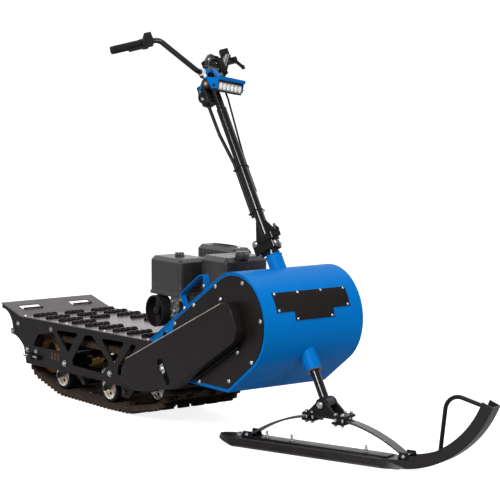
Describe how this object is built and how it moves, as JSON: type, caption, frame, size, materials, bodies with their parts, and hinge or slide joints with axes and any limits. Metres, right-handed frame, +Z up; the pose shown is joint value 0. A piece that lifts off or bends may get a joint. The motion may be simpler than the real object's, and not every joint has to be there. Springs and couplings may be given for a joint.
{
  "type": "compact snowmobile",
  "caption": "Compact single-ski utility snowmobile with a blue drum hull, a standing deck over one rubber track and a folding steering column.",
  "frame": {"origin": "on the ground under the middle of the box around the vehicle, stored with its ski turned to the left", "axes": "+X ahead along the vehicle, +Y to the rider's left, +Z up"},
  "size_m": [2.7642, 0.7703, 1.5865],
  "materials": {
    "blue_paint": "satin",
    "black_paint": "satin powder coat",
    "track_rubber": "matt",
    "tyre": "matt",
    "steel": "zinc plated",
    "spring_zinc": "yellow zinc",
    "tan_plastic": "moulded",
    "engine_metal": "painted casting",
    "black_plastic": "moulded",
    "grip_rubber": "ribbed",
    "cable_sheath": "smooth"
  },
  "bodies": {
    "chassis": {"adjusters": "steel", "air_filter": "black_plastic", "carburettor": "engine_metal", "cover_left": "black_paint", "cover_right": "black_paint", "deck": "black_paint", "drive_axle": "steel", "drive_case": "black_paint", "engine_bed": "black_paint", "engine_block": "engine_metal", "front_hangers": "black_paint", "front_plate": "black_paint", "fuel_tank": "black_plastic", "guard_ring": "black_paint", "hull_shell": "blue_paint", "idler_axle": "steel", "idler_wheels": "tan_plastic", "pivot_tubes": "black_paint", "road_rims": "steel", "road_tyres": "tyre", "side_frame_left": "black_paint", "side_frame_right": "black_paint", "side_panel_left": "blue_paint", "side_panel_right": "blue_paint", "silencer": "engine_metal", "steering_tube": "blue_paint", "strap_handle": "blue_paint", "swing_arms": "black_paint", "tail_plate": "black_paint", "torsion_springs": "spring_zinc", "tow_bar": "black_paint", "track": "track_rubber", "wheel_axles": "steel"},
    "steering": {"steering_shaft": "black_paint"},
    "column": {"column": "black_paint", "handlebar": "black_paint", "grips": "grip_rubber", "throttle": "black_plastic", "brake": "black_plastic", "lamp_bracket": "blue_paint", "head_lamp": "black_plastic", "wiring": "black_plastic", "cables": "cable_sheath"},
    "ski": {"ski_fork": "black_paint", "knuckle_bolt": "steel", "leaf_spring": "black_paint", "ski": "black_paint", "spring_shoes": "black_paint", "ski_loop": "black_paint"}
  },
  "joints": [
    {"name": "steering", "type": "hinge", "parent": "chassis", "child": "steering", "pos_m": [0.6999, 0.054, 0.2], "axis": [-0.5299, 0, 0.848], "range_deg": [-52, 8]},
    {"name": "column_fold", "type": "hinge", "parent": "steering", "child": "column", "pos_m": [0.29809, 0.03677, 0.76255], "axis": [0.3177, -0.9272, 0.1985], "range_deg": [0, 55]},
    {"name": "ski_pitch", "type": "hinge", "parent": "steering", "child": "ski", "pos_m": [0.6999, 0.054, 0.2], "axis": [0.3241, -0.946, 0], "range_deg": [-12, 20]}
  ]
}
